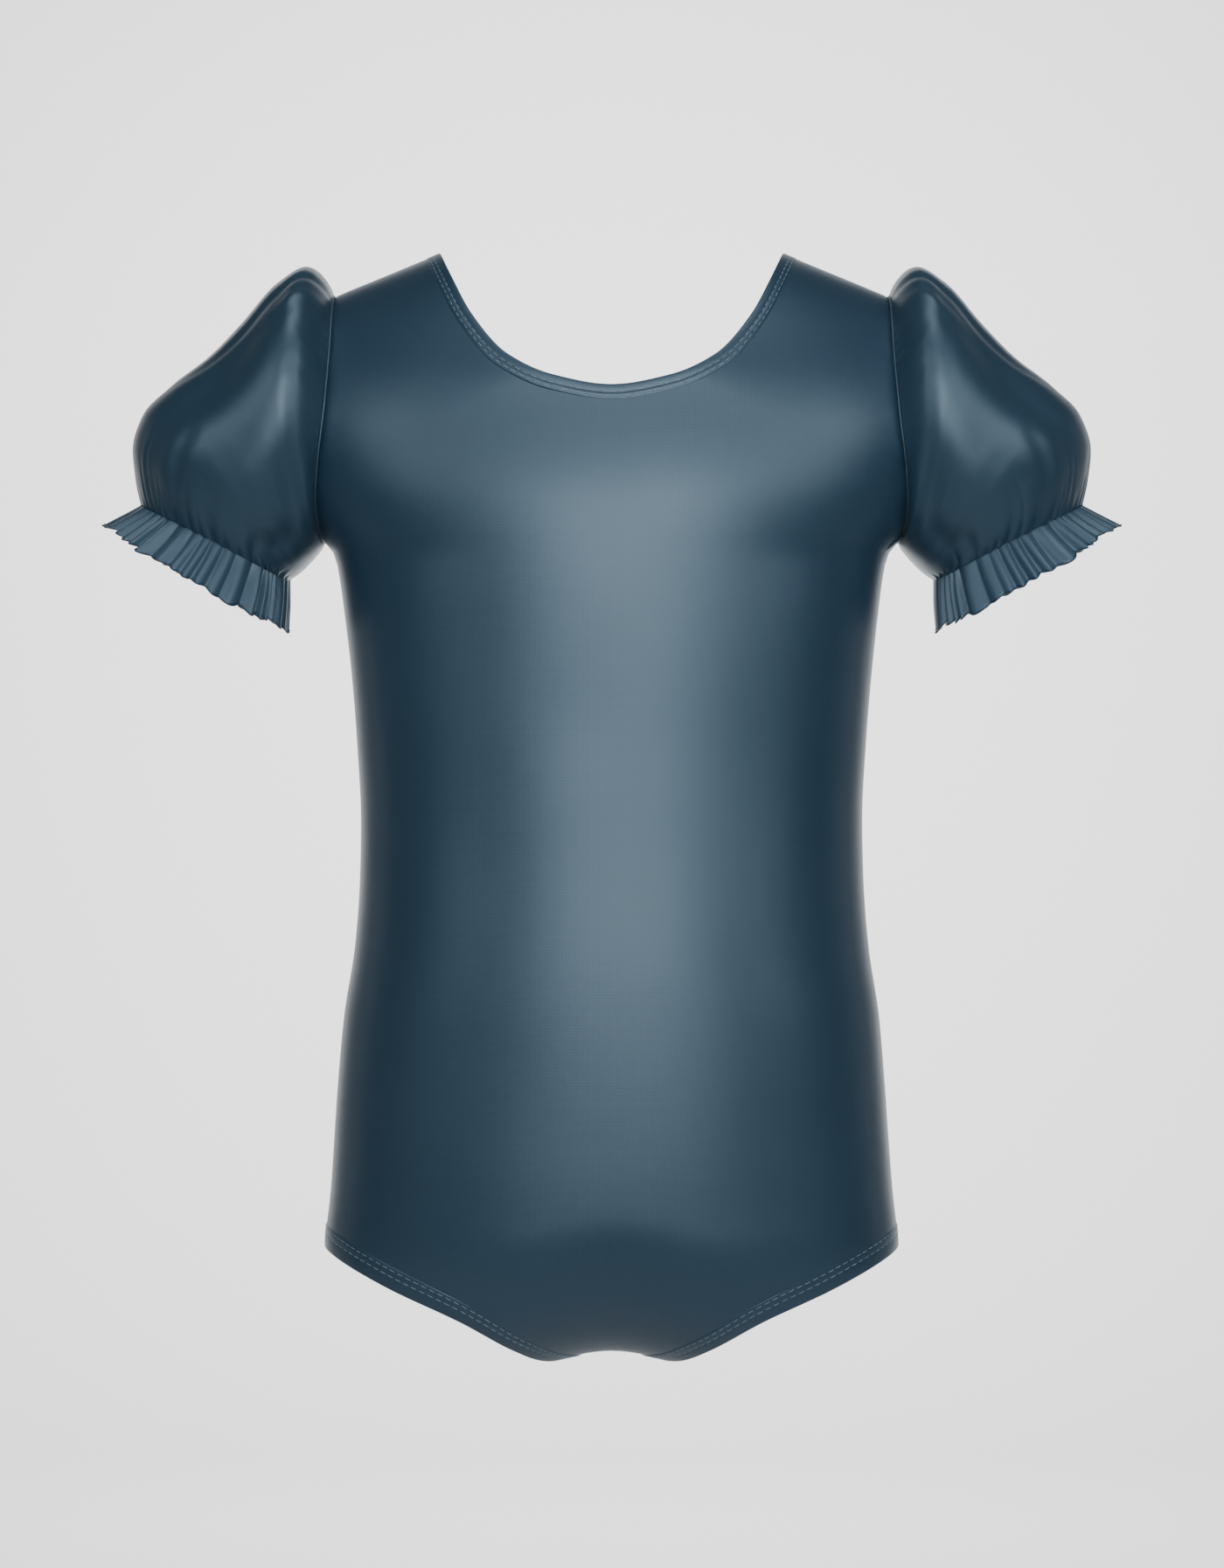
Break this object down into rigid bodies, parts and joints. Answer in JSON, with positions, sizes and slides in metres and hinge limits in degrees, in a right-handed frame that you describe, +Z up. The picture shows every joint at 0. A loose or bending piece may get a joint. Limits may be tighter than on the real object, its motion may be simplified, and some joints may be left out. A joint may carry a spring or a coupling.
{
  "type": "puff sleeve leotard",
  "caption": "Child's scoop-necked leotard in satin knit, filled out as worn, with short puff sleeves gathered by elastic above a pleated ruffle.",
  "frame": {"origin": "midway between the two shoulder seams, level with their tops at the neck, where the wearer's shoulders hold the garment up", "axes": "+Z up to the neck, -Y to the front, +X towards the wearer's left"},
  "size_m": [0.4306, 0.159, 0.4671],
  "materials": {
    "satin_knit": "soft satin sheen"
  },
  "bodies": {
    "root": {"front": "satin_knit", "back": "satin_knit", "sleeve_left": "satin_knit", "sleeve_right": "satin_knit", "ruffle_left": "satin_knit", "ruffle_right": "satin_knit"}
  },
  "joints": []
}
